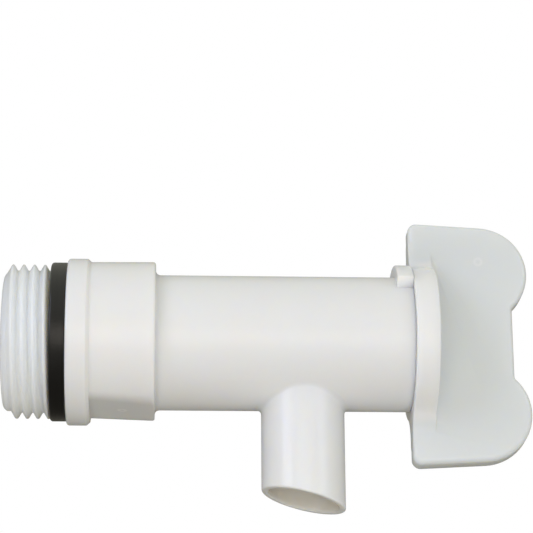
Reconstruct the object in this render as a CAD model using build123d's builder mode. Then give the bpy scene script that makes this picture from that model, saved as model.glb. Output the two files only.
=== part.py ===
from build123d import *

import os
from math import cos, radians, sin

# Jerrycan tap: a moulded body with a threaded inlet and an oblique spout, a hollow plug that turns in
# the body's seat and is moulded in one with its butterfly handle, and a rubber inlet washer.
# Millimetres. X runs along the tap from inlet to handle, the spout points down -Z, and the origin is
# where the tap's axis meets the flange's sealing face.

os.makedirs("parts", exist_ok=True)

# Inlet: a 3/4 inch parallel pipe thread of 14 turns to the inch, drawn here at its major diameter
thread_major_radius = 13.22
thread_depth = 1.16
thread_length = 7.85
thread_lead = 0.9
inlet_wall = 1.7
inlet_edge = 0.8
inlet_bore_edge = 0.4

# Washer, in the groove between the thread and the flange
washer_thickness = 2.95
washer_rim = 0.4
washer_fit = 0.05
washer_edge = 0.75
washer_seat_edge = 0.25

# Flange and the wide section behind it
flange_step = 1.08
flange_thickness = 3.4
flange_edge = 0.5
flange_chamfer = 0.6
wide_wall = 3.4
wide_draft = 0.1
wide_length = 11.0
wide_edge = 0.5

# Flat under the wide section, where the plastic was let into the mould
gate_flat_wall = 1.25
gate_flat_rise = 1.0

# Barrel with the seat that the plug turns in
shoulder_height = 0.85
seat_taper = 0.3
barrel_wall = 1.8
barrel_length = 43.8
barrel_root = 0.8
mouth_chamfer = 0.4

# Spout
spout_distance = 25.25
spout_bore_radius = 5.9
spout_wall = 1.2
spout_reach = 27.65
spout_cut_angle = 13.8
spout_root = 1.0
spout_lip = 0.3

# Stop block on the barrel's mouth, and the lug on the handle that runs between its ends
stop_height = 2.1
stop_length = 2.8
stop_angle = 100.0
stop_edge = 0.3
lug_angle = 79.0
lug_length = 2.0
lug_clearance = 0.3
turn_play = 0.5

# Plug
seat_clearance = 0.05
plug_wall = 1.6
plug_end_wall = 2.0
snap_length = 2.2
snap_gap = 0.3
snap_clearance = 0.35
snap_lead = 0.9
window_margin = 0.4

# Handle
handle_gap = 0.25
disc_overhang = 1.7
disc_thickness = 3.75
disc_edge = 0.35
wing_thickness = 4.2
wing_reach = 21.7
wing_corner = 1.5
wing_edge = 0.6
wing_edge_share = 0.45
wing_blend = 5.0
lobe_radius = 8.5
lobe_spacing = 25.2
lobe_distance = 11.9
web_depth = 17.6
notch_corner = 0.8

# How far a fused feature is let into the piece that it stands on
bite = 0.4

# Radii that follow from the sizes above
thread_root_radius = thread_major_radius - thread_depth
inlet_bore_radius = thread_root_radius - inlet_wall
washer_radius = thread_major_radius + washer_rim
flange_radius = thread_major_radius + flange_step
wide_radius = inlet_bore_radius + wide_wall
gate_flat_height = inlet_bore_radius + gate_flat_wall
seat_inner_radius = inlet_bore_radius - shoulder_height
seat_mouth_radius = seat_inner_radius + seat_taper
barrel_radius = seat_mouth_radius + barrel_wall
stop_radius = barrel_radius + stop_height
disc_radius = barrel_radius + disc_overhang
spout_radius = spout_bore_radius + spout_wall

# Stations along the axis that follow from the sizes above
inlet_end = -washer_thickness - thread_length
wide_start = flange_thickness + flange_chamfer
wide_end = wide_start + wide_length
mouth = wide_end + barrel_length
spout_station = wide_end + spout_distance
handle_face = mouth + handle_gap
disc_end = handle_face + disc_thickness
snap_end = wide_end - snap_gap
plug_start = snap_end - snap_length
hollow_end = disc_end - plug_end_wall


def corner(station, radius):
    """The corner of the profile being drawn that lies nearest to a station and a radius."""
    return vertices().sort_by_distance((station, radius))[0]


def turned(angle):
    """The plane through the axis whose upper half is turned by an angle from straight up, towards -Y."""
    return Plane.XZ.rotated((angle, 0, 0))


# Body: one moulding, with the inlet, the barrel, the spout and the stop block
spout_plane = Plane(origin=(spout_station, 0, 0), x_dir=(1, 0, 0), z_dir=(0, 0, -1))
spout_cut = Plane(
    origin=(spout_station, 0, -spout_reach),
    x_dir=(cos(radians(spout_cut_angle)), 0, -sin(radians(spout_cut_angle))),
    z_dir=(sin(radians(spout_cut_angle)), 0, cos(radians(spout_cut_angle))),
)

with BuildPart() as tap_body:
    # Spout, cut off obliquely so that its handle side is the longer one
    with BuildSketch(spout_plane):
        Circle(spout_radius)
    extrude(amount=spout_reach + spout_radius)
    split(bisect_by=spout_cut, keep=Keep.TOP)

    # Everything that is round about the axis
    with BuildSketch(Plane.XZ):
        with BuildLine():
            Polyline(
                (inlet_end, 0),
                (inlet_end, thread_root_radius),
                (inlet_end + thread_lead, thread_root_radius),
                (inlet_end + thread_lead + thread_depth, thread_major_radius),
                (-washer_thickness, thread_major_radius),
                (-washer_thickness, thread_root_radius),
                (0, thread_root_radius),
                (0, flange_radius),
                (flange_thickness, flange_radius),
                (wide_start, wide_radius),
                (wide_end, wide_radius + wide_draft),
                (wide_end, barrel_radius),
                (mouth, barrel_radius),
                (mouth, 0),
                close=True,
            )
        make_face()
        fillet(corner(inlet_end, thread_root_radius), inlet_edge)
        fillet(corner(0, flange_radius), flange_edge)
        fillet(corner(wide_end, wide_radius + wide_draft), wide_edge)
        fillet(corner(wide_end, barrel_radius), barrel_root)
    revolve(axis=Axis.X)
    spout_side = tap_body.faces().filter_by(GeomType.CYLINDER).sort_by(Axis.Z)[0]
    fillet(spout_side.edges().sort_by(Axis.Z)[-1], spout_root)

    # Flat under the wide section, nearest to the axis at the flange
    with BuildSketch(Plane.XZ):
        with BuildLine():
            Polyline(
                (wide_start, -flange_radius),
                (wide_start, -gate_flat_height),
                (wide_end, -gate_flat_height - gate_flat_rise),
                (wide_end + bite, -gate_flat_height - gate_flat_rise),
                (wide_end + bite, -flange_radius),
                close=True,
            )
        make_face()
    extrude(amount=flange_radius, both=True, mode=Mode.SUBTRACT)

    # Stop block, a part of a ring on top of the barrel's mouth
    with BuildSketch(turned(-stop_angle / 2)):
        with Locations((mouth - stop_length / 2, barrel_radius + (stop_height - bite) / 2)):
            Rectangle(stop_length, stop_height + bite)
        fillet(corner(mouth - stop_length, stop_radius), stop_edge)
        fillet(corner(mouth, stop_radius), stop_edge)
    revolve(axis=Axis.X, revolution_arc=stop_angle)

    # Inlet bore, the shoulder that the plug snaps behind, and the tapered seat
    with BuildSketch(Plane.XZ):
        with BuildLine():
            Polyline(
                (inlet_end, 0),
                (inlet_end, inlet_bore_radius + inlet_bore_edge),
                (inlet_end + inlet_bore_edge, inlet_bore_radius),
                (wide_end, inlet_bore_radius),
                (wide_end, seat_inner_radius),
                (mouth - mouth_chamfer, seat_mouth_radius),
                (mouth, seat_mouth_radius + mouth_chamfer),
                (mouth, 0),
                close=True,
            )
        make_face()
    revolve(axis=Axis.X, mode=Mode.SUBTRACT)

    # Spout bore, from the seat down
    with BuildSketch(spout_plane):
        Circle(spout_bore_radius)
    extrude(amount=spout_reach + spout_radius, mode=Mode.SUBTRACT)
    fillet(tap_body.faces().sort_by(Axis.Z)[0].edges(), spout_lip)

tap_body.part.label = "tap_body"
export_step(tap_body.part, "parts/tap_body.step")

# Washer: a square-section rubber ring with softened edges
with BuildPart() as inlet_washer:
    washer_bore_radius = thread_root_radius + washer_fit
    with BuildSketch(Plane.XZ):
        with Locations((-washer_thickness / 2, (washer_bore_radius + washer_radius) / 2)):
            Rectangle(washer_thickness, washer_radius - washer_bore_radius)
        fillet(corner(-washer_thickness, washer_radius), washer_edge)
        fillet(corner(0, washer_radius), washer_seat_edge)
    revolve(axis=Axis.X)

inlet_washer.part.label = "inlet_washer"
export_step(inlet_washer.part, "parts/inlet_washer.step")

# Handle: one moulding, with the butterfly wings, the disc, the stop lug and the hollow plug
plug_inner_radius = seat_inner_radius - seat_clearance
plug_outer_radius = seat_mouth_radius - seat_clearance
snap_radius = inlet_bore_radius - snap_clearance
wing_round = min(wing_edge, wing_edge_share * wing_thickness)

with BuildPart() as handle_disc:
    # A round disc whose outline runs out into the wings through a hollow blend on both sides
    with BuildSketch(Plane.YZ.offset(handle_face)) as disc_outline:
        Circle(disc_radius)
        Rectangle(wing_thickness, 2 * (disc_radius + wing_blend))
        inner_corners = disc_outline.vertices().filter_by_position(Axis.Y, -disc_radius, disc_radius)
        fillet(inner_corners, wing_blend)
    extrude(amount=disc_thickness)
    fillet(handle_disc.faces().filter_by(Axis.X).edges(), disc_edge)

with BuildPart() as plug_handle:
    # Wings: a flat plate with two round lobes and a straight web between them
    with BuildSketch(Plane.XZ) as wing_outline:
        with Locations((handle_face + lobe_distance, lobe_spacing / 2)):
            Circle(lobe_radius)
        with Locations((handle_face + wing_corner, 0)):
            Rectangle(2 * wing_corner, 2 * wing_reach)
        make_hull()
        mirror(about=Plane.XZ)
        with Locations((handle_face + web_depth / 2, 0)):
            Rectangle(web_depth, lobe_spacing)
        fillet(corner(handle_face, wing_reach), wing_corner)
        fillet(corner(handle_face, -wing_reach), wing_corner)
        notch = wing_outline.vertices().filter_by_position(
            Axis.X, handle_face + web_depth, handle_face + web_depth
        )
        fillet(notch, notch_corner)
    extrude(amount=wing_thickness / 2, both=True)
    fillet(plug_handle.faces().filter_by(Axis.Y).edges(), wing_round)

    # Disc between the wings and the plug
    add(handle_disc.part)

    # Plug with its snap ring, and the waterway inside it
    with BuildSketch(Plane.XZ):
        with BuildLine():
            Polyline(
                (plug_start, 0),
                (plug_start, snap_radius - snap_lead),
                (plug_start + snap_lead, snap_radius),
                (snap_end, snap_radius),
                (snap_end, plug_inner_radius),
                (wide_end, plug_inner_radius),
                (mouth, plug_outer_radius),
                (handle_face + bite, plug_outer_radius),
                (handle_face + bite, 0),
                close=True,
            )
        make_face()
    revolve(axis=Axis.X)
    with BuildSketch(Plane.XZ):
        with BuildLine():
            Polyline(
                (plug_start, 0),
                (plug_start, plug_inner_radius - plug_wall),
                (wide_end, plug_inner_radius - plug_wall),
                (hollow_end, plug_outer_radius - plug_wall),
                (hollow_end, 0),
                close=True,
            )
        make_face()
    revolve(axis=Axis.X, mode=Mode.SUBTRACT)

    # Window in the plug's side, over the spout
    with BuildSketch(spout_plane):
        Circle(spout_bore_radius - window_margin)
    extrude(amount=spout_reach, mode=Mode.SUBTRACT)

    # Stop lug behind the tap, a part of a ring that clears the barrel
    lug_inner_radius = barrel_radius + lug_clearance
    lug_centre = (handle_face + (bite - lug_length) / 2, (lug_inner_radius + disc_radius) / 2)
    with BuildSketch(turned(-stop_angle / 2 - turn_play - lug_angle)):
        with Locations(lug_centre):
            Rectangle(lug_length + bite, disc_radius - lug_inner_radius)
    revolve(axis=Axis.X, revolution_arc=lug_angle)

plug_handle.part.label = "plug_handle"
export_step(plug_handle.part, "parts/plug_handle.step")
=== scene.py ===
import bmesh
import bpy
import numpy as np
from bpy.props import FloatProperty, FloatVectorProperty, PointerProperty
from math import cos, radians, sin, tan
from mathutils import Matrix, Vector


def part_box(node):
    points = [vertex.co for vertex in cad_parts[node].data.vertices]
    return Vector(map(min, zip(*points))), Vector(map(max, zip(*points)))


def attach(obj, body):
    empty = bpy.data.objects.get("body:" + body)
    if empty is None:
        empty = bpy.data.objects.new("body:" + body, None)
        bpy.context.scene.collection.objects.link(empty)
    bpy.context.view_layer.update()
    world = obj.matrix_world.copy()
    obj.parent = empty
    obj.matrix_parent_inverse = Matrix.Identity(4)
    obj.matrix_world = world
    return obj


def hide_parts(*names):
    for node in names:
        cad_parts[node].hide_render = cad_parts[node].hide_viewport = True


bl_info = {
    "name": "Jerrycan Tap",
    "version": (1, 0, 0),
    "blender": (4, 5, 0),
    "location": "View3D > Sidebar > Tap",
    "description": "Moulded plastic water tap with a threaded inlet, washer, spout and butterfly handle",
    "category": "Object",
}

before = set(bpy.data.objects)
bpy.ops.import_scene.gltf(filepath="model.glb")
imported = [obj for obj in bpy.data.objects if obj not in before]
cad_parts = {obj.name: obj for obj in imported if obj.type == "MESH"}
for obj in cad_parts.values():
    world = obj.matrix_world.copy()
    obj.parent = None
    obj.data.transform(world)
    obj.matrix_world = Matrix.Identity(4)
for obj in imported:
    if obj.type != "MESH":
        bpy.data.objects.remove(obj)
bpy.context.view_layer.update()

# The sizes below are written in millimetres and turned into metres where a mesh is made
MM = 0.001
BODY_LOW, BODY_HIGH = (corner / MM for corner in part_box("tap_body"))
HANDLE_LOW, HANDLE_HIGH = (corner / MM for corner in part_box("plug_handle"))
WASHER_LOW, WASHER_HIGH = (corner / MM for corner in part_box("inlet_washer"))

# Rounding of an edge that is meant to be sharp, and of the hollow step from the wide section to the barrel
SHARP = 0.02
STEP_ROUND = 0.8

# Longest runs of the body's outline along the thread and along the flat
THREAD_RUN = 0.11
FLAT_RUN = 0.5

# The thread's flank off square, its crest's arc and its full height as shares of the pitch, the angle round
# the axis where it starts, and the angle over which its first turn grows out of the wall
THREAD_FLANK = radians(27.5)
THREAD_ARC = 0.1373
THREAD_FULL = 0.64033
THREAD_START = radians(-50)
THREAD_FADE = radians(35)


def length(name, description, default, low=0.01, high=100.0):
    """A length in millimetres that the sidebar shows."""
    return FloatProperty(name=name, description=description, default=default, min=low, max=high, precision=3)


def degrees(name, description, default):
    """An angle, given in degrees, that the sidebar shows."""
    return FloatProperty(name=name, description=description, default=radians(default), subtype="ANGLE")


def fraction(name, description, default):
    """A share from nothing to all that the sidebar shows."""
    return FloatProperty(
        name=name, description=description, default=default, min=0.0, max=1.0, subtype="FACTOR"
    )


def colour(name, description, default):
    """A colour that the sidebar shows."""
    return FloatVectorProperty(
        name=name, description=description, default=default, subtype="COLOR", size=3, min=0.0, max=1.0
    )


# Sizes


class TapInletSizes(bpy.types.PropertyGroup):
    crest_radius: length("Crest radius", "Radius over the thread's crests", 13.22)
    thread_height: length("Thread height", "From the thread's root to its crest", 1.06)
    pitch: length("Pitch", "Distance from one crest to the next, 14 to the inch", 25.4 / 14)
    first_crest: FloatProperty(
        name="First crest", description="Station of the first crest on top of the tap", default=-9.50
    )
    lead_radius: length("Lead radius", "Radius of the plain end before the thread", 11.9)
    end_round: length("End rounding", "Rounding of the inlet's outer end", 0.95)
    groove_radius: length("Groove radius", "Radius of the groove that holds the washer", 12.06)
    bore_radius: length("Bore radius", "Radius of the inlet's bore", 10.36)


class TapBarrelSizes(bpy.types.PropertyGroup):
    flange_radius: length("Flange radius", "Radius of the flange behind the washer", BODY_HIGH.y)
    flange_thickness: length("Flange thickness", "Thickness of the flange", 3.4)
    wide_radius: length("Wide radius", "Radius of the wide section behind the flange", 13.76)
    wide_draft: length("Wide draft", "How much the wide section grows towards the barrel", 0.1)
    wide_start: length("Wide start", "Station where the flange's chamfer meets the wide section", 4.0)
    wide_end: length("Wide end", "Station where the wide section steps down to the barrel", 15.0)
    flat_height: length("Flat height", "From the axis to the flat's end at the flange", 11.75)
    flat_rise: length("Flat rise", "How much farther down the flat lies at the barrel's end", 0.65)
    flat_round: length("Flat rounding", "How softly the flat runs into the round", 0.9)
    barrel_radius: length("Barrel radius", "Outer radius of the barrel", 11.61)
    seat_radius: length("Seat radius", "Radius of the plug's seat at its inner end", 9.51)
    seat_taper: length("Seat taper", "How much the seat widens towards the mouth", 0.3)
    mouth: length("Mouth", "Station of the barrel's open end", BODY_HIGH.x)
    stop_radius: length("Stop radius", "Outer radius of the stop block", 13.71)
    stop_length: length("Stop length", "Length of the stop block along the barrel", 2.8)
    stop_angle: degrees("Stop angle", "Angle that the stop block spans", 100)


class TapSpoutSizes(bpy.types.PropertyGroup):
    station: length("Station", "Where the spout stands along the barrel", 40.25)
    radius: length("Radius", "Outer radius of the spout", 7.1)
    bore: length("Bore", "Inner radius of the spout", 5.9)
    reach: length("Reach", "From the tap's axis to the middle of the spout's end", 27.65)
    cut: degrees("Cut", "How far off square the spout's end is cut", 13.8)
    root: length("Root", "Radius of the hollow rounding where the spout leaves the barrel", 1.0)
    lip: length("Lip", "Rounding of the spout's lip", 0.3)


class TapWasherSizes(bpy.types.PropertyGroup):
    thickness: length("Thickness", "Thickness of the washer", 2.82)
    radius: length("Radius", "Outer radius of the washer", WASHER_HIGH.y)
    bore: length("Bore", "Inner radius of the washer", 12.11)
    inlet_round: length("Inlet rounding", "Rounding of the outer edge on the inlet's side", 0.5)
    flange_round: length("Flange rounding", "Rounding of the outer edge on the flange's side", 0.25)


class TapHandleSizes(bpy.types.PropertyGroup):
    face: length("Face", "Station of the handle's face towards the barrel", 58.83)
    disc_radius: length("Disc radius", "Radius of the disc between wings and plug", HANDLE_HIGH.y)
    disc_thickness: length("Disc thickness", "Thickness of the disc", 3.97)
    disc_edge: length("Disc edge", "Rounding of the disc's edges", 0.25)
    blend: length("Blend", "Radius of the hollow blend from the disc into the wings", 5.0)
    wing_thickness: length("Wing thickness", "Thickness of the wings", 4.2)
    wing_reach: length("Wing reach", "From the tap's axis to a wing's outer edge", HANDLE_HIGH.z)
    wing_corner: length("Wing corner", "Radius of the wings' square corners", 1.5)
    wing_edge: length("Wing edge", "Rounding along the wings' edges", 0.9)
    lobe_radius: length("Lobe radius", "Radius of the two round lobes", 8.5)
    lobe_offset: length("Lobe offset", "From the tap's axis to a lobe's centre", 12.6)
    lobe_station: length("Lobe station", "Station of the lobes' centres", 70.95)
    web_end: length("Web end", "Station of the straight edge between the lobes", 76.65)
    notch: length("Notch", "Radius of the hollow corners beside the web", 0.8)
    plug_start: length("Plug start", "Station of the plug's open end", HANDLE_LOW.x)
    plug_wall: length("Plug wall", "Wall thickness of the hollow plug", 1.6)
    window: length("Window", "Radius of the plug's side window", 5.5)


class TapPlastic(bpy.types.PropertyGroup):
    body: colour("Plastic", "Colour of the natural polyethylene", (0.805, 0.80, 0.785))
    cool: colour("Cool plastic", "Cooler white that the plastic's colour drifts to", (0.80, 0.81, 0.82))
    # Painted shade: the wings beyond the disc take this darker, cooler colour, which stands in for the
    # lesser light that reaches them
    thick: colour("Solid plastic", "Deeper colour of the solid wings", (0.68, 0.71, 0.72))
    thread: colour("Thread plastic", "Clearer, cooler colour of the thin threaded inlet", (0.89, 0.91, 0.90))
    # Painted shade: the inside of the spout is darkened to this colour, standing in for the little light
    # that reaches into the hollow
    bore: colour("Spout bore", "Duller colour inside the spout", (0.71, 0.69, 0.65))
    rubber: colour("Rubber", "Colour of the washer", (0.006, 0.006, 0.006))
    gate: colour("Gate mark", "Colour of the gate's mark on the flat", (0.93, 0.93, 0.90))
    pin: colour("Pin mark", "Colour of the mould pin's mark on the upper lobe", (0.73, 0.75, 0.76))
    roughness: fraction("Roughness", "Roughness of the plastic's satin skin", 0.25)
    milkiness: fraction("Milkiness", "Share of light scattered below the skin", 0.8)


class TapStage(bpy.types.PropertyGroup):
    floor: colour("Floor", "Colour of the plain floor", (0.81, 0.81, 0.82))
    floor_depth: length("Floor depth", "How far the floor lies below the tap's axis", 150.0, high=1000.0)
    above: colour("Light above", "Colour of the studio's light from above", (0.73, 0.73, 0.62))
    level: colour("Light level", "Colour of the studio's light from the sides", (0.46, 0.44, 0.36))
    below: colour("Light below", "Colour of the studio's light from below", (0.07, 0.055, 0.03))
    behind: fraction("Light behind", "Strength of the studio's light behind the tap", 0.4)
    elevation: degrees("Elevation", "Angle of the camera above the tap", -19.4)
    azimuth: degrees("Azimuth", "Angle of the camera round the tap", -2.65)
    roll: degrees("Roll", "Roll of the camera", -0.3)
    aim_station: length("Aim station", "Station that the camera points at", 34.2)
    aim_height: length("Aim height", "How far over the axis the camera points, square to its view", 13.3)
    distance: length("Distance", "From the camera to the tap", 396.0, high=2000.0)
    lens: length("Lens", "Focal length of the camera", 155.3, low=10.0, high=300.0)


# Shapes


def grid_faces(rows, columns, ring_rows=False):
    """The quads of a grid of points, row by row. The last column is joined to the first, and so is the last
    row where the rows are a ring."""
    row = np.arange(rows if ring_rows else rows - 1)
    column = np.arange(columns)
    row, column = np.meshgrid(row, column, indexing="ij")
    next_row, next_column = (row + 1) % rows, (column + 1) % columns
    quads = [row * columns + column, next_row * columns + column]
    quads += [next_row * columns + next_column, row * columns + next_column]
    return np.stack(quads, axis=-1).reshape(-1, 4)


def shell(name, points, ring_rows=False, capped=False):
    """A closed mesh from a grid of points in millimetres, shape (rows, columns, 3): every column ring is
    closed, and the rows close on themselves or end in flat caps. Doubles are merged and faces turned
    outwards."""
    rows, columns = points.shape[:2]
    faces = grid_faces(rows, columns, ring_rows=ring_rows).tolist()
    if capped:
        faces.append(list(range(columns)))
        faces.append(list(range((rows - 1) * columns, rows * columns)))
    mesh = bpy.data.meshes.new(name)
    mesh.from_pydata((points.reshape(-1, 3) * MM).tolist(), [], faces)
    tidy = bmesh.new()
    tidy.from_mesh(mesh)
    bmesh.ops.remove_doubles(tidy, verts=tidy.verts, dist=1e-7)
    bmesh.ops.recalc_face_normals(tidy, faces=tidy.faces)
    tidy.to_mesh(mesh)
    tidy.free()
    piece = bpy.data.objects.new(name, mesh)
    bpy.context.scene.collection.objects.link(piece)
    return piece


def combine(piece, tools, operation):
    """Adds the tools to a piece, or cuts them from it, with an exact Boolean, and uses them up."""
    for tool in tools:
        step = piece.modifiers.new(operation, "BOOLEAN")
        step.operation, step.object, step.solver = operation, tool, "EXACT"
        evaluated = piece.evaluated_get(bpy.context.evaluated_depsgraph_get())
        mesh = bpy.data.meshes.new_from_object(evaluated)
        piece.modifiers.clear()
        piece.data = mesh
        bpy.data.objects.remove(tool)
    return piece


def smooth(piece, angle=35.0):
    """Smooth shading, with an edge kept sharp where its two faces meet at more than an angle."""
    piece.data.shade_smooth()
    piece.data.set_sharp_from_angle(angle=radians(angle))
    return piece


def rounded(corners, steps=6):
    """A closed outline with rounded corners. Each row of corners is (x, y, radius), and the corner becomes
    an arc that touches both of its sides: its centre lies on the bisector at radius / sin(half the
    corner)."""
    corners = np.array(corners, float)
    point, radius = corners[:, :2], corners[:, 2:]
    back = np.roll(point, 1, axis=0) - point
    ahead = np.roll(point, -1, axis=0) - point
    back /= np.linalg.norm(back, axis=1, keepdims=True)
    ahead /= np.linalg.norm(ahead, axis=1, keepdims=True)
    half = np.arccos(np.clip((back * ahead).sum(1, keepdims=True), -1, 1)) / 2
    bisector = (back + ahead) / np.linalg.norm(back + ahead, axis=1, keepdims=True)
    centre = point + bisector * radius / np.sin(half)
    start = point + back * radius / np.tan(half) - centre
    end = point + ahead * radius / np.tan(half) - centre
    sweep = (np.pi - 2 * half)[:, None]
    share = np.linspace(0, 1, steps)[None, :, None]
    arc = np.sin((1 - share) * sweep) * start[:, None] + np.sin(share * sweep) * end[:, None]
    return (centre[:, None] + arc / np.sin(sweep)).reshape(-1, 2)


def divided(outline, longest, low, high, above):
    """A closed outline with extra points on the runs between two stations and beyond a radius, so that none
    there is longer than a given length: each run from a to b is cut evenly, a + (b - a) * share."""
    pieces = []
    for a, b in zip(outline, np.roll(outline, -1, axis=0)):
        inside = low <= min(a[0], b[0]) and max(a[0], b[0]) <= high and min(a[1], b[1]) > above
        parts = max(1, int(np.ceil(np.linalg.norm(b - a) / longest))) if inside else 1
        pieces.append(a + (b - a) * np.arange(parts)[:, None] / parts)
    return np.concatenate(pieces)


def lathe(outline, columns):
    """An outline of (station, radius) carried round the tap's axis: y = -radius sin(angle) and z = radius
    cos(angle), so that angle 0 is on top and a quarter turn faces -Y."""
    angle = np.arange(columns) * 2 * np.pi / columns
    station = np.repeat(outline[:, :1], columns, axis=1)
    return station, outline[:, 1:] * np.ones(columns), np.broadcast_to(angle, station.shape)


def turned(station, radius, angle):
    """Points from stations, radii and angles round the tap's axis."""
    return np.stack([station, -radius * np.sin(angle), radius * np.cos(angle)], axis=-1)


def thread(station, angle, sizes):
    """The radius of a right-hand thread over the plain radius of the inlet. Measured in turns from its
    first crest, the form has flanks 27.5 degrees off square, joined at crest and root by arcs of 0.1373
    pitch. Its first flank runs straight out of the plain lead, and its first turn grows out of the wall
    over an angle."""
    turn = (angle - THREAD_START) % (2 * np.pi)
    offset = sizes.first_crest + THREAD_START / (2 * np.pi) * sizes.pitch
    turns = (station - offset) / sizes.pitch - turn / (2 * np.pi)
    away = np.abs(turns - np.round(np.maximum(turns, 0))) * sizes.pitch
    bend = THREAD_ARC * sizes.pitch
    full = THREAD_FULL * sizes.pitch
    reach = bend * cos(THREAD_FLANK)
    flank = bend / sin(THREAD_FLANK) - bend - away / tan(THREAD_FLANK)
    crest = np.sqrt(np.maximum(bend**2 - away**2, 0)) - bend
    to_root = sizes.pitch / 2 - away
    root = bend - full - np.sqrt(np.maximum(bend**2 - to_root**2, 0))
    form = np.where(away < reach, crest, np.where((to_root < reach) & (turns > 0), root, flank))
    first = np.clip(turn / THREAD_FADE, 0, 1)
    grown = np.where(turns < 0.5, first * first * (3 - 2 * first), 1.0)
    height = sizes.thread_height * (1 + form / full) * grown
    core = sizes.crest_radius - sizes.thread_height
    return np.maximum(core + height, np.where(turns < 0, sizes.lead_radius, core))


def flattened(station, radius, angle, sizes):
    """Radii of the wide section with the flat on its underside. A plane below the axis lies at radius
    height / cos(angle from straight down), and the lesser of it and the round is taken, blended where the
    two are near each other: min(a, b) - max(k - abs(a - b), 0) ** 2 / (4 * k)."""
    least = 0.05
    along = np.clip((station - sizes.wide_start) / (sizes.wide_end - sizes.wide_start), 0, 1)
    down = np.maximum(-np.cos(angle), least)
    plane = (sizes.flat_height + sizes.flat_rise * along) / down
    blend = sizes.flat_round
    near = np.maximum(blend - np.abs(plane - radius), 0)
    return np.minimum(plane, radius) - near * near / (4 * blend)


def ring_sector(name, low, high, inner, outer, centre, span, edge, columns=48):
    """A part of a ring. Its section is a rectangle from station low to high and radius inner to outer,
    whose outer corners are rounded, carried round the axis over an angle. Near both ends, where the columns
    crowd, the outer radius is drawn in by edge * (1 - sqrt(1 - u * u)), with u from 0 to 1 over the last
    edge of arc."""
    section = rounded([(low, inner, SHARP), (low, outer, edge), (high, outer, edge), (high, inner, SHARP)])
    crowding = 1.6
    share = np.linspace(-1, 1, columns)
    share = np.sign(share) * (1 - (1 - np.abs(share)) ** crowding)
    angle = centre + share * span / 2
    arc = (1 - np.abs(share)) * span / 2 * outer
    u = np.clip(1 - arc / edge, 0, 1)[:, None]
    drawn = edge * (1 - np.sqrt(1 - u * u))
    radius = section[None, :, 1] - drawn * (section[None, :, 1] > (inner + outer) / 2)
    station = np.broadcast_to(section[:, 0], radius.shape)
    return shell(name, turned(station, radius, angle[:, None] + 0 * radius), capped=True)


def belt(circles, steps=24):
    """A closed outline, with its outward normals, that runs round a row of circles as a belt does. A circle
    is (x, y, radius), and one with a negative radius is a hollow corner. Two neighbours share a tangent
    whose normal lies asin((r1 - r2) / distance) ahead of the right angle to the line between them."""
    circles = np.array(circles, float)
    centre, radius = circles[:, :2], circles[:, 2]
    line = np.roll(centre, -1, axis=0) - centre
    lead = np.clip((radius - np.roll(radius, -1)) / np.linalg.norm(line, axis=1), -1, 1)
    leaving = np.arctan2(line[:, 1], line[:, 0]) - np.pi / 2 + np.arcsin(lead)
    arriving = np.roll(leaving, 1)
    sweep = (leaving - arriving) % (2 * np.pi)
    sweep = np.where(radius < 0, -((-(leaving - arriving)) % (2 * np.pi)), sweep)
    angle = arriving[:, None] + sweep[:, None] * np.linspace(0, 1, steps)
    normal = np.stack([np.cos(angle), np.sin(angle)], axis=-1)
    outline = centre[:, None] + radius[:, None, None] * normal
    return outline.reshape(-1, 2), normal.reshape(-1, 2)


def plate(name, circles, low, high, edge, place, steps=7):
    """A flat plate with rounded edges. Its belt outline is carried from low to high and drawn in along its
    own normals by edge * (1 - sin(a)) at edge * (1 - cos(a)) from each face, with a from 0 to a right
    angle."""
    outline, normal = belt(circles)
    a = np.linspace(0, np.pi / 2, steps)
    drawn = edge * (1 - np.sin(a))
    depth = edge * (1 - np.cos(a))
    level = np.concatenate([low + depth, high - depth[::-1]])[:, None]
    inset = np.concatenate([drawn, drawn[::-1]])[:, None, None]
    flat = outline[None] - inset * normal[None]
    level = np.broadcast_to(level, flat.shape[:2])
    return shell(name, place(flat[..., 0], flat[..., 1], level), capped=True)


# Body


def body_outline(inlet, barrel):
    """Half section of the body as a closed row of rounded corners, from the inlet's bore round its outside
    to the mouth and back along the seat."""
    low, mouth = BODY_LOW.x, barrel.mouth
    wide = barrel.wide_end
    seat_mouth = barrel.seat_radius + barrel.seat_taper
    ramp, chamfer = 0.06, 0.4
    return rounded(
        [
            (low, inlet.bore_radius, 0.4),
            (low, inlet.lead_radius, inlet.end_round),
            (WASHER_LOW.x, inlet.lead_radius, SHARP),
            (WASHER_LOW.x + ramp, inlet.groove_radius, SHARP),
            (0, inlet.groove_radius, 0.1),
            (0, barrel.flange_radius, 0.5),
            (barrel.flange_thickness, barrel.flange_radius, 0.35),
            (barrel.wide_start, barrel.wide_radius, 0.25),
            (wide, barrel.wide_radius + barrel.wide_draft, 0.5),
            (wide, barrel.barrel_radius, STEP_ROUND),
            (mouth, barrel.barrel_radius, 0.08),
            (mouth, seat_mouth + chamfer, 0.08),
            (mouth - chamfer, seat_mouth, 0.1),
            (wide, barrel.seat_radius, 0.12),
            (wide, inlet.bore_radius, 0.15),
        ]
    )


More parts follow.
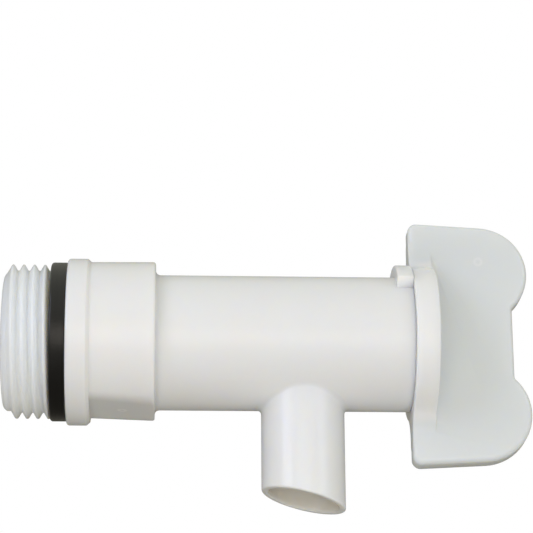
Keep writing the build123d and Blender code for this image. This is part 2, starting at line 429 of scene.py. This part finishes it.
def spout_outside(sizes, barrel_radius, columns=160):
    """Closed outside of the spout. Round its axis, each ring stands at radius r in direction a. The hollow
    root is the path of a ball that rolls between barrel and spout: its centre is at root beyond both
    surfaces, and the arc swings from the barrel's side of it to the spout's. The end follows the oblique
    cut and is drawn in by a quarter circle at the lip."""
    a = np.linspace(0, 2 * np.pi, columns, endpoint=False)
    out = np.stack([np.cos(a), np.sin(a), 0 * a], axis=-1)
    ball = sizes.radius + sizes.root
    centre = ball * out
    centre[:, 2] = -np.sqrt((barrel_radius + sizes.root) ** 2 - centre[:, 1] ** 2)
    to_barrel = -centre * [0, 1, 1] / (barrel_radius + sizes.root)
    sweep = np.arccos((to_barrel * -out).sum(1))[:, None]
    share = np.linspace(0, 1, 8)[:, None, None]
    swing = (np.sin((1 - share) * sweep) * to_barrel + np.sin(share * sweep) * -out) / np.sin(sweep)
    root = centre + sizes.root * swing
    sunk = 0.7
    buried = centre * [1, 0, 0] + root[0] * [0, 1, 1] * (1 - sunk / barrel_radius)
    b = np.linspace(0, np.pi / 2, 6)[:, None]
    radius = sizes.radius - sizes.lip * (1 - np.cos(b))
    lip = radius[..., None] * out
    lip[..., 2] = -sizes.reach - tan(sizes.cut) * lip[..., 0] + sizes.lip * (1 - np.sin(b))
    rings = np.concatenate([buried[None], root, lip])
    return shell("spout_outside", rings + [sizes.station, 0, 0], capped=True)


def spout_bore(sizes, radius, columns=128):
    """Closed cutter for a round hole along the spout: a cylinder from just below the tap's axis down past
    the oblique cut, where it opens by a quarter circle so that the lip's inner edge is rounded too."""
    margin = np.array([0, 0, 2.0])
    a = np.linspace(0, 2 * np.pi, columns, endpoint=False)
    out = np.stack([np.cos(a), np.sin(a), 0 * a], axis=-1)
    b = np.linspace(0, np.pi / 2, 6)[:, None]
    mouth = (radius + sizes.lip * (1 - np.cos(b)))[..., None] * out
    mouth[..., 2] = -sizes.reach - tan(sizes.cut) * mouth[..., 0] + sizes.lip * (1 - np.sin(b))
    first = radius * out - margin
    last = mouth[-1] - margin
    rings = np.concatenate([first[None], mouth, last[None]])
    return shell("spout_bore", rings + [sizes.station, 0, 0], capped=True)


class TAP_OT_build_body(bpy.types.Operator):
    """Build the moulded body with its threaded inlet, barrel, stop block and spout"""

    bl_idname = "tap.build_body"
    bl_label = "Build Body"

    def execute(self, context):
        scene = context.scene
        inlet, barrel, spout = scene.tap_inlet, scene.tap_barrel, scene.tap_spout
        outer = (inlet.bore_radius + inlet.lead_radius) / 2
        outline = body_outline(inlet, barrel)
        outline = divided(outline, THREAD_RUN, BODY_LOW.x + inlet.end_round, WASHER_LOW.x, outer)
        outline = divided(outline, FLAT_RUN, barrel.wide_start, barrel.wide_end, outer)
        station, radius, angle = lathe(outline, columns=288)
        lead_in, slack, end_slack = 0.3, 0.001, 0.01
        threaded = (station > BODY_LOW.x + inlet.end_round - lead_in) & (station < WASHER_LOW.x + slack)
        threaded &= radius > outer
        radius = np.where(threaded, np.maximum(thread(station, angle, inlet), radius), radius)
        wide = (station > barrel.wide_start) & (station < barrel.wide_end + end_slack)
        wide &= radius > barrel.barrel_radius + STEP_ROUND
        radius = np.where(wide, flattened(station, radius, angle, barrel), radius)
        body = shell("tap_body_moulding", turned(station, radius, angle), ring_rows=True)
        sunk, inset = 0.6, 0.002
        stop = ring_sector(
            "stop_block",
            low=barrel.mouth - barrel.stop_length,
            high=barrel.mouth - inset,
            inner=barrel.barrel_radius - sunk,
            outer=barrel.stop_radius,
            centre=0.0,
            span=barrel.stop_angle,
            edge=0.3,
        )
        combine(body, [stop, spout_outside(spout, barrel.barrel_radius)], "UNION")
        combine(body, [spout_bore(spout, spout.bore)], "DIFFERENCE")
        smooth(body)
        body.data.materials.clear()
        look = scene.tap_plastic
        gate = (barrel.wide_start + barrel.wide_end) / 2, 0.0, -barrel.flat_height - barrel.flat_rise / 2
        # Painted shade: inside the spout's bore, below the barrel, the colour darkens towards the bore
        # colour
        inside = spout.station, spout.bore, -barrel.barrel_radius
        plastic = polyethylene(
            "Natural polyethylene, body",
            look,
            stations=(-3.2, -4.4),
            tone=look.thread,
            depth=(2.4, 12.0),
            mark=gate,
            mark_tone=look.gate,
            bore=inside,
        )
        body.data.materials.append(plastic)
        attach(body, "body")
        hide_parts("tap_body")
        return {"FINISHED"}


class TAP_OT_build_washer(bpy.types.Operator):
    """Build the rubber washer that sits in the groove behind the thread"""

    bl_idname = "tap.build_washer"
    bl_label = "Build Washer"

    def execute(self, context):
        sizes = context.scene.tap_washer
        low, high = WASHER_HIGH.x - sizes.thickness, WASHER_HIGH.x
        outline = rounded(
            [
                (low, sizes.bore, 0.1),
                (low, sizes.radius, sizes.inlet_round),
                (high, sizes.radius, sizes.flange_round),
                (high, sizes.bore, 0.1),
            ],
            steps=9,
        )
        station, radius, angle = lathe(outline, columns=240)
        washer = smooth(shell("inlet_washer_rubber", turned(station, radius, angle), ring_rows=True))
        washer.data.materials.append(rubber("Black rubber, washer", context.scene.tap_plastic))
        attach(washer, "body")
        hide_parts("inlet_washer")
        return {"FINISHED"}


# Handle


def wings(sizes):
    """The wings' outline as a belt round the square corners, the lobes and the hollow corners of the web. A
    hollow corner touches its lobe, so its centre lies at lobe + notch from the lobe's."""
    corner = sizes.wing_corner
    side = sizes.web_end + sizes.notch
    gap = np.sqrt((sizes.lobe_radius + sizes.notch) ** 2 - (side - sizes.lobe_station) ** 2)
    half = [
        (sizes.face + corner, -sizes.wing_reach + corner, corner),
        (sizes.lobe_station, -sizes.lobe_offset, sizes.lobe_radius),
        (side, -sizes.lobe_offset + gap, -sizes.notch),
    ]
    circles = half + [(x, -z, radius) for x, z, radius in reversed(half)]
    thick = sizes.wing_thickness / 2
    return plate(
        "wings", circles, -thick, thick, sizes.wing_edge, lambda x, z, y: np.stack([x, y, z], axis=-1)
    )


def disc(sizes):
    """The disc's outline as a belt round its own circle and the hollow blends that lead into the wings. A
    blend touches both the disc and a stub that lies just inside the wing's faces."""
    inset, short = 0.04, 1.0
    thick = sizes.wing_thickness / 2 - inset
    side = thick + sizes.blend
    rise = np.sqrt((sizes.disc_radius + sizes.blend) ** 2 - side**2)
    stub = sizes.disc_radius + sizes.blend - short
    circles = [
        (0, 0, sizes.disc_radius),
        (side, rise, -sizes.blend),
        (0, stub, thick),
        (-side, rise, -sizes.blend),
        (0, 0, sizes.disc_radius),
        (-side, -rise, -sizes.blend),
        (0, -stub, thick),
        (side, -rise, -sizes.blend),
    ]
    low, high = sizes.face, sizes.face + sizes.disc_thickness
    return plate("disc", circles, low, high, sizes.disc_edge, lambda y, z, x: np.stack([x, y, z], axis=-1))


def open_turned(name, corners, columns=200):
    """A solid turned about the axis from a row of rounded corners whose first and last lie on the axis.
    Those two are left out, and a flat disc caps it at both ends."""
    steps = 6
    outline = rounded(corners, steps)[steps:-steps]
    station, radius, angle = lathe(outline, columns)
    return shell(name, turned(station, radius, angle), capped=True)


class TAP_OT_build_handle(bpy.types.Operator):
    """Build the butterfly handle with its disc, stop lug and hollow plug"""

    bl_idname = "tap.build_handle"
    bl_label = "Build Handle"

    def execute(self, context):
        scene = context.scene
        inlet, barrel, spout, sizes = scene.tap_inlet, scene.tap_barrel, scene.tap_spout, scene.tap_handle
        clearance, snap_play, snap_clearance, snap_lead = 0.05, 0.3, 0.35, 0.9
        inner = barrel.seat_radius - clearance
        outer = barrel.seat_radius + barrel.seat_taper - clearance
        snap_end, snap = barrel.wide_end - snap_play, inlet.bore_radius - snap_clearance
        start, wall = sizes.plug_start, sizes.plug_wall
        sunk, past, end_wall = 0.6, 1.0, 2.0
        plug = open_turned(
            "plug",
            [
                (start, 0, 0.01),
                (start, snap - snap_lead, 0.2),
                (start + snap_lead, snap, 0.3),
                (snap_end, snap, 0.1),
                (snap_end, inner, 0.1),
                (barrel.wide_end, inner, SHARP),
                (barrel.mouth, outer, SHARP),
                (sizes.face + sunk, outer, SHARP),
                (sizes.face + sunk, 0, 0.01),
            ],
        )
        end = sizes.face + sizes.disc_thickness - end_wall
        hollow = open_turned(
            "hollow",
            [
                (start - past, 0, 0.01),
                (start - past, inner - wall, SHARP),
                (barrel.wide_end, inner - wall, SHARP),
                (end, outer - wall, 0.6),
                (end, 0, 0.01),
            ],
        )
        lug_length, lug_sunk, lug_clearance, lug_inset = 2.0, 0.5, 0.3, 0.01
        lug_span, lug_play = 79, 0.5
        lug = ring_sector(
            "stop_lug",
            low=sizes.face - lug_length,
            high=sizes.face + lug_sunk,
            inner=barrel.barrel_radius + lug_clearance,
            outer=sizes.disc_radius - lug_inset,
            centre=-barrel.stop_angle / 2 - radians(lug_play + lug_span / 2),
            span=radians(lug_span),
            edge=0.25,
        )
        handle = wings(sizes)
        handle.name = handle.data.name = "butterfly_handle"
        combine(handle, [disc(sizes), plug, lug], "UNION")
        combine(handle, [hollow, spout_bore(spout, sizes.window)], "DIFFERENCE")
        smooth(handle)
        handle.data.materials.clear()
        look = scene.tap_plastic
        pin_height = sizes.lobe_offset + 2.0
        # The wings beyond the disc are painted darker with the thick colour: painted shade for the lesser
        # light they get
        plastic = polyethylene(
            "Natural polyethylene, handle",
            look,
            stations=(61.0, 65.0),
            tone=look.thick,
            depth=(3.5, 5.0),
            mark=(sizes.lobe_station, -sizes.wing_thickness / 2, pin_height),
            mark_tone=look.pin,
            rim=sizes.disc_radius,
        )
        handle.data.materials.append(plastic)
        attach(handle, "handle")
        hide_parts("plug_handle")
        return {"FINISHED"}


# Materials


def node(tree, kind, values=None, **settings):
    """A new node with its settings and the values of its unlinked inputs."""
    made = tree.nodes.new(kind)
    for name, value in settings.items():
        setattr(made, name, value)
    for name, value in (values or {}).items():
        made.inputs[name].default_value = value
    return made


def mapped(tree, value, limits, result=(0.0, 1.0), kind="LINEAR"):
    """A value's way from one limit to the other, carried over to the two values of the result."""
    values = dict(zip(["From Min", "From Max", "To Min", "To Max"], [*limits, *result]))
    ramp = node(tree, "ShaderNodeMapRange", values, interpolation_type=kind)
    tree.links.new(value, ramp.inputs["Value"])
    return ramp.outputs["Result"]


def blended(tree, share, first, second):
    """A colour blended from two by a share. Each is a colour, or the output of another node."""
    mix = node(tree, "ShaderNodeMix", data_type="RGBA")
    tree.links.new(share, mix.inputs[0])
    for socket, value in [(mix.inputs[6], first), (mix.inputs[7], second)]:
        if isinstance(value, bpy.types.NodeSocket):
            tree.links.new(value, socket)
        else:
            socket.default_value = (*value, 1.0)
    return mix.outputs[2]


def worked(tree, operation, *values):
    """The result of one operation on values that other nodes put out."""
    made = node(tree, "ShaderNodeMath", operation=operation)
    for socket, value in zip(made.inputs, values):
        tree.links.new(value, socket)
    return made.outputs[0]


def from_axis(tree, place, centre, across):
    """Distance from an axis through a centre: the length of (place - centre) * across, where across is 0
    along the axis and 1 square to it."""
    apart = node(tree, "ShaderNodeVectorMath", {1: centre}, operation="SUBTRACT")
    square = node(tree, "ShaderNodeVectorMath", {1: across}, operation="MULTIPLY")
    size = node(tree, "ShaderNodeVectorMath", operation="LENGTH")
    tree.links.new(place, apart.inputs[0])
    tree.links.new(apart.outputs[0], square.inputs[0])
    tree.links.new(square.outputs[0], size.inputs[0])
    return size.outputs["Value"]


def group(name, inputs, outputs):
    """A new node group, with the node that brings its inputs and the one that takes its outputs. An input
    with a default is a value, one without is a vector, and every output is a value."""
    tree = bpy.data.node_groups.new(name, "ShaderNodeTree")
    for label, default in inputs.items():
        kind = "NodeSocketVector" if default is None else "NodeSocketFloat"
        socket = tree.interface.new_socket(label, in_out="INPUT", socket_type=kind)
        if default is not None:
            socket.default_value = default
    for label in outputs:
        tree.interface.new_socket(label, in_out="OUTPUT", socket_type="NodeSocketFloat")
    return tree, node(tree, "NodeGroupInput"), node(tree, "NodeGroupOutput")


def moulded_skin():
    """Node group: the skin of a moulded piece. Large soft noise gives the wall's slow waviness and fine
    noise its grain, and the height is made of both by a share."""
    name = "Moulded skin"
    if name in bpy.data.node_groups:
        return bpy.data.node_groups[name]
    inputs = {"Vector": None, "Wave scale": 90.0, "Grain scale": 2600.0, "Grain share": 0.2}
    tree, entry, leave = group(name, inputs, ["Height", "Waves", "Grain"])
    waves = node(tree, "ShaderNodeTexNoise", {"Detail": 2.0, "Roughness": 0.5})
    grain = node(tree, "ShaderNodeTexNoise", {"Detail": 3.0, "Roughness": 0.6})
    height = node(tree, "ShaderNodeMix", data_type="FLOAT")
    link = tree.links.new
    for texture, label, socket in [(waves, "Wave scale", 2), (grain, "Grain scale", 3)]:
        link(entry.outputs["Vector"], texture.inputs["Vector"])
        link(entry.outputs[label], texture.inputs["Scale"])
        link(texture.outputs["Fac"], height.inputs[socket])
    link(entry.outputs["Grain share"], height.inputs[0])
    link(height.outputs[0], leave.inputs["Height"])
    link(waves.outputs["Fac"], leave.inputs["Waves"])
    link(grain.outputs["Fac"], leave.inputs["Grain"])
    return tree


def mould_mark():
    """Node group: the round mark that a mould's gate or pin leaves, as a mask. Round a point, it is 1 on a
    thin ring and falls off to both sides of it: 1 - 2 * abs(distance - radius) / width."""
    name = "Mould mark"
    if name in bpy.data.node_groups:
        return bpy.data.node_groups[name]
    inputs = {"Vector": None, "Point": None, "Radius": 0.0006, "Width": 0.0008}
    tree, entry, leave = group(name, inputs, ["Mask"])
    away = node(tree, "ShaderNodeVectorMath", operation="DISTANCE")
    tree.links.new(entry.outputs["Vector"], away.inputs[0])
    tree.links.new(entry.outputs["Point"], away.inputs[1])
    offset = worked(tree, "SUBTRACT", away.outputs["Value"], entry.outputs["Radius"])
    share = worked(tree, "DIVIDE", worked(tree, "ABSOLUTE", offset), entry.outputs["Width"])
    tree.links.new(mapped(tree, share, (0.0, 0.5), (1.0, 0.0)), leave.inputs["Mask"])
    return tree


def fresh_material(name):
    """An empty node material, its tree and the place on the piece that its patterns read, in Object
    coordinates."""
    material = bpy.data.materials.new(name)
    material.use_nodes = True
    tree = material.node_tree
    tree.nodes.clear()
    return material, tree, node(tree, "ShaderNodeTexCoord").outputs["Object"]


def finish_surface(tree, surface, tint, gloss, height, bump):
    """Links a shader to its colour, roughness and bump, and to the material's output."""
    raised = node(tree, "ShaderNodeBump", bump)
    output = node(tree, "ShaderNodeOutputMaterial")
    tree.links.new(height, raised.inputs["Height"])
    tree.links.new(tint, surface.inputs["Base Color"])
    tree.links.new(gloss, surface.inputs["Roughness"])
    tree.links.new(raised.outputs["Normal"], surface.inputs["Normal"])
    tree.links.new(surface.outputs["BSDF"], output.inputs["Surface"])


def polyethylene(name, look, stations, tone, depth, mark, mark_tone, rim=None, bore=None):
    """Natural, milky polyethylene: light scatters below a satin skin, whose colour drifts a little between
    a warmer and a cooler white. Between two stations, and outside a rim's radius, its colour changes to
    another tone, and the depth that light reaches from one value to another; on the handle that darker tone
    is painted shade for the lesser light on the wings. A faint round mould mark lies at a point. Inside a
    bore, given by its axis, radius and height, the colour is darkened below that height: painted shade in
    the hollow. All in millimetres."""
    rim_band, bore_band, bore_fade, gloss_band = (0.1, 2.0), (0.2, 0.05), 3.0, 0.03
    material, tree, place = fresh_material(name)
    skin = node(tree, "ShaderNodeGroup", {"Wave scale": 110.0}, node_tree=moulded_skin())
    ring = node(tree, "ShaderNodeGroup", {"Point": Vector(mark) * MM}, node_tree=mould_mark())
    split = node(tree, "ShaderNodeSeparateXYZ")
    for reader in [skin.inputs["Vector"], ring.inputs["Vector"], split.inputs[0]]:
        tree.links.new(place, reader)
    waves = skin.outputs["Waves"]

    limits = [station * MM for station in stations]
    # Between the stations and outside the rim the colour turns to the given tone; on the handle that darker
    # tone is painted shade over the wings
    changed = mapped(tree, split.outputs["X"], limits, kind="SMOOTHSTEP")
    if rim:
        limits = [(rim + beyond) * MM for beyond in rim_band]
        outside = mapped(tree, from_axis(tree, place, (0, 0, 0), (0, 1, 1)), limits, kind="SMOOTHSTEP")
        changed = worked(tree, "MAXIMUM", changed, outside)
    tint = blended(tree, changed, blended(tree, waves, look.body, look.cool), tone)
    tint = blended(tree, ring.outputs["Mask"], tint, mark_tone)
    # Painted shade in the hollow: inside the bore and below the given height the colour darkens towards the
    # bore colour
    if bore:
        axis, radius, height = bore
        limits = [(radius + beyond) * MM for beyond in bore_band]
        inside = mapped(tree, from_axis(tree, place, (axis * MM, 0, 0), (1, 1, 0)), limits)
        below = mapped(tree, split.outputs["Z"], (height * MM, (height - bore_fade) * MM))
        tint = blended(tree, worked(tree, "MULTIPLY", inside, below), tint, look.bore)

    gloss = mapped(tree, waves, (0, 1), (look.roughness - gloss_band, look.roughness + gloss_band))
    surface = node(
        tree,
        "ShaderNodeBsdfPrincipled",
        {"IOR": 1.51, "Subsurface Weight": look.milkiness, "Subsurface Radius": (1.0, 0.85, 0.62)},
    )
    reach = mapped(tree, changed, (0, 1), [value * MM for value in depth])
    tree.links.new(reach, surface.inputs["Subsurface Scale"])
    finish_surface(tree, surface, tint, gloss, waves, bump={"Strength": 0.2, "Distance": 0.2 * MM})
    return material


def rubber(name, look):
    """Matt black rubber with a fine grain, a little paler in slow waves."""
    material, tree, place = fresh_material(name)
    scales = {"Wave scale": 260.0, "Grain scale": 3800.0, "Grain share": 0.6}
    skin = node(tree, "ShaderNodeGroup", scales, node_tree=moulded_skin())
    tree.links.new(place, skin.inputs["Vector"])
    drift = 0.006
    tint = blended(tree, skin.outputs["Waves"], look.rubber, [drift + value for value in look.rubber])
    gloss = mapped(tree, skin.outputs["Grain"], (0, 1), (0.17, 0.26))
    surface = node(tree, "ShaderNodeBsdfPrincipled", {"IOR": 1.5, "Specular IOR Level": 0.42})
    height = skin.outputs["Height"]
    finish_surface(tree, surface, tint, gloss, height, bump={"Strength": 0.35, "Distance": 0.2 * MM})
    return material


def floor_paper(name, tint):
    """Plain pale studio paper, lit through from below, with a faint fibre in its colour."""
    material, tree, place = fresh_material(name)
    fibre = node(tree, "ShaderNodeTexNoise", {"Scale": 60.0, "Detail": 4.0})
    fibre_shade = 0.985
    shade = blended(tree, fibre.outputs["Fac"], [fibre_shade * value for value in tint], tint)
    surface = node(
        tree,
        "ShaderNodeBsdfPrincipled",
        {"Roughness": 0.9, "Specular IOR Level": 0.1, "Emission Strength": 0.75},
    )
    output = node(tree, "ShaderNodeOutputMaterial")
    tree.links.new(place, fibre.inputs["Vector"])
    tree.links.new(shade, surface.inputs["Base Color"])
    tree.links.new(shade, surface.inputs["Emission Color"])
    tree.links.new(surface.outputs["BSDF"], output.inputs["Surface"])
    return material


# Stage

# The point that the lights face, in millimetres
MIDDLE = Vector((34.0, 0.0, 0.0))

# Each softbox's angles round the tap and above it in degrees, its distance, width and height in millimetres,
# its power in watts, its tint, and whether the gloss shows it
SOFTBOXES = {
    "left": (-48, 20, 620, 260, 540, 1.10, (0.88, 0.94, 1.26), True),
    "right": (50, 12, 620, 260, 450, 0.50, (0.80, 0.90, 1.26), True),
    "front": (0, -8, 700, 500, 320, 0.55, (1.10, 1.0, 0.90), True),
    "low": (0, -49, 700, 900, 750, 3.1, (1.0, 1.0, 1.0), False),
    "back": (170, 10, 700, 500, 400, 0.5, (1.0, 1.0, 1.0), False),
}


def direction(azimuth, elevation):
    """The unit vector at an angle round the vertical axis, where 0 faces -Y, and an angle above the ground:
    (sin(a) cos(e), -cos(a) cos(e), sin(e))."""
    return Vector((sin(azimuth) * cos(elevation), -cos(azimuth) * cos(elevation), sin(elevation)))


def put(data, location, away):
    """A new object at a location in millimetres whose back points away, put into the scene."""
    made = bpy.data.objects.new(data.name, data)
    made.location = location * MM
    made.rotation_euler = (-away).to_track_quat("-Z", "Y").to_euler()
    bpy.context.scene.collection.objects.link(made)
    return made


def softbox(name, azimuth, elevation, distance, width, height, power, tint, glossy):
    """A rectangular area light that faces the middle of the tap."""
    away = direction(radians(azimuth), radians(elevation))
    data = bpy.data.lights.new(name, "AREA")
    data.shape, data.size, data.size_y = "RECTANGLE", width * MM, height * MM
    data.energy, data.color = power, tint
    light = put(data, MIDDLE + away * distance, away)
    light.visible_glossy = glossy


def sky(stage):
    """A pale studio. What lights the tap is brightest above it, falls off to a dim warm tone straight below
    and is weaker behind it, by the direction of the ray. What the camera sees behind it is plain white."""
    world = bpy.data.worlds.new("Studio")
    bpy.context.scene.world = world
    world.use_nodes = True
    tree = world.node_tree
    tree.nodes.clear()
    ray = node(tree, "ShaderNodeTexCoord")
    split = node(tree, "ShaderNodeSeparateXYZ")
    ramp = node(tree, "ShaderNodeValToRGB")
    ramp.color_ramp.interpolation = "EASE"
    ramp.color_ramp.elements.new(0.5)
    for element, tint in zip(ramp.color_ramp.elements, [stage.below, stage.level, stage.above]):
        element.color = (*tint, 1.0)
    room = node(tree, "ShaderNodeBackground")
    backdrop = node(tree, "ShaderNodeBackground", {"Color": (1.0, 1.0, 1.0, 1.0), "Strength": 1.0})
    path = node(tree, "ShaderNodeLightPath")
    either = node(tree, "ShaderNodeMixShader")
    output = node(tree, "ShaderNodeOutputWorld")
    link = tree.links.new
    link(ray.outputs["Generated"], split.inputs[0])
    link(mapped(tree, split.outputs["Z"], (-1, 1)), ramp.inputs["Fac"])
    link(mapped(tree, split.outputs["Y"], (0, 1), (1, stage.behind), "SMOOTHSTEP"), room.inputs["Strength"])
    link(ramp.outputs["Color"], room.inputs["Color"])
    link(path.outputs["Is Camera Ray"], either.inputs[0])
    link(room.outputs[0], either.inputs[1])
    link(backdrop.outputs[0], either.inputs[2])
    link(either.outputs[0], output.inputs["Surface"])


def studio_floor(stage):
    """A square of paper below the tap that neither lights it nor keeps light from it."""
    side, level = 6.0, -stage.floor_depth * MM
    mesh = bpy.data.meshes.new("studio_floor")
    corners = [(-side, -side, level), (side, -side, level), (side, side, level), (-side, side, level)]
    mesh.from_pydata(corners, [], [(0, 1, 2, 3)])
    mesh.materials.append(floor_paper("Studio paper", stage.floor))
    floor = bpy.data.objects.new("studio_floor", mesh)
    bpy.context.scene.collection.objects.link(floor)
    for kind in ["diffuse", "glossy", "transmission", "shadow"]:
        setattr(floor, f"visible_{kind}", False)
    return floor


def photo_camera(stage):
    """The camera at the photograph's viewing angle."""
    back = direction(stage.azimuth, stage.elevation)
    up = direction(stage.azimuth, stage.elevation + radians(90))
    aim = Vector((stage.aim_station, 0, 0)) + stage.aim_height * up
    data = bpy.data.cameras.new("photo_camera")
    data.lens, data.sensor_width, data.clip_start = stage.lens, 36.0, 10 * MM
    camera = put(data, aim + back * stage.distance, back)
    turn = camera.rotation_euler.to_matrix().to_4x4()
    camera.rotation_euler = (turn @ Matrix.Rotation(stage.roll, 4, "Z")).to_euler()
    return camera


class TAP_OT_build_stage(bpy.types.Operator):
    """Set up the floor, the soft light and the camera"""

    bl_idname = "tap.build_stage"
    bl_label = "Build Stage"

    def execute(self, context):
        scene = context.scene
        studio_floor(scene.tap_stage)
        for name, settings in SOFTBOXES.items():
            softbox(name, *settings)
        sky(scene.tap_stage)
        scene.camera = photo_camera(scene.tap_stage)
        scene.view_settings.view_transform = "Standard"
        return {"FINISHED"}


class TAP_PT_panel(bpy.types.Panel):
    """Buttons for the tap's pieces and its stage"""

    bl_idname = "TAP_PT_panel"
    bl_label = "Jerrycan Tap"
    bl_space_type = "VIEW_3D"
    bl_region_type = "UI"
    bl_category = "Tap"

    def draw(self, context):
        for operator in BUILDERS:
            self.layout.operator(operator.bl_idname)


SETTINGS = {
    "tap_inlet": TapInletSizes,
    "tap_barrel": TapBarrelSizes,
    "tap_spout": TapSpoutSizes,
    "tap_washer": TapWasherSizes,
    "tap_handle": TapHandleSizes,
    "tap_plastic": TapPlastic,
    "tap_stage": TapStage,
}
BUILDERS = [TAP_OT_build_stage, TAP_OT_build_body, TAP_OT_build_washer, TAP_OT_build_handle]


def register():
    """Registers the classes and hangs the settings on the scene."""
    for name, settings in SETTINGS.items():
        bpy.utils.register_class(settings)
        setattr(bpy.types.Scene, name, PointerProperty(type=settings))
    for operator in BUILDERS:
        bpy.utils.register_class(operator)
    bpy.utils.register_class(TAP_PT_panel)


def unregister():
    """Takes the settings and classes away again."""
    bpy.utils.unregister_class(TAP_PT_panel)
    for operator in reversed(BUILDERS):
        bpy.utils.unregister_class(operator)
    for name, settings in reversed(SETTINGS.items()):
        delattr(bpy.types.Scene, name)
        bpy.utils.unregister_class(settings)


def main():
    """Builds the stage and the pieces."""
    register()
    bpy.ops.tap.build_stage()
    bpy.ops.tap.build_body()
    bpy.ops.tap.build_washer()
    bpy.ops.tap.build_handle()


if __name__ == "__main__":
    main()
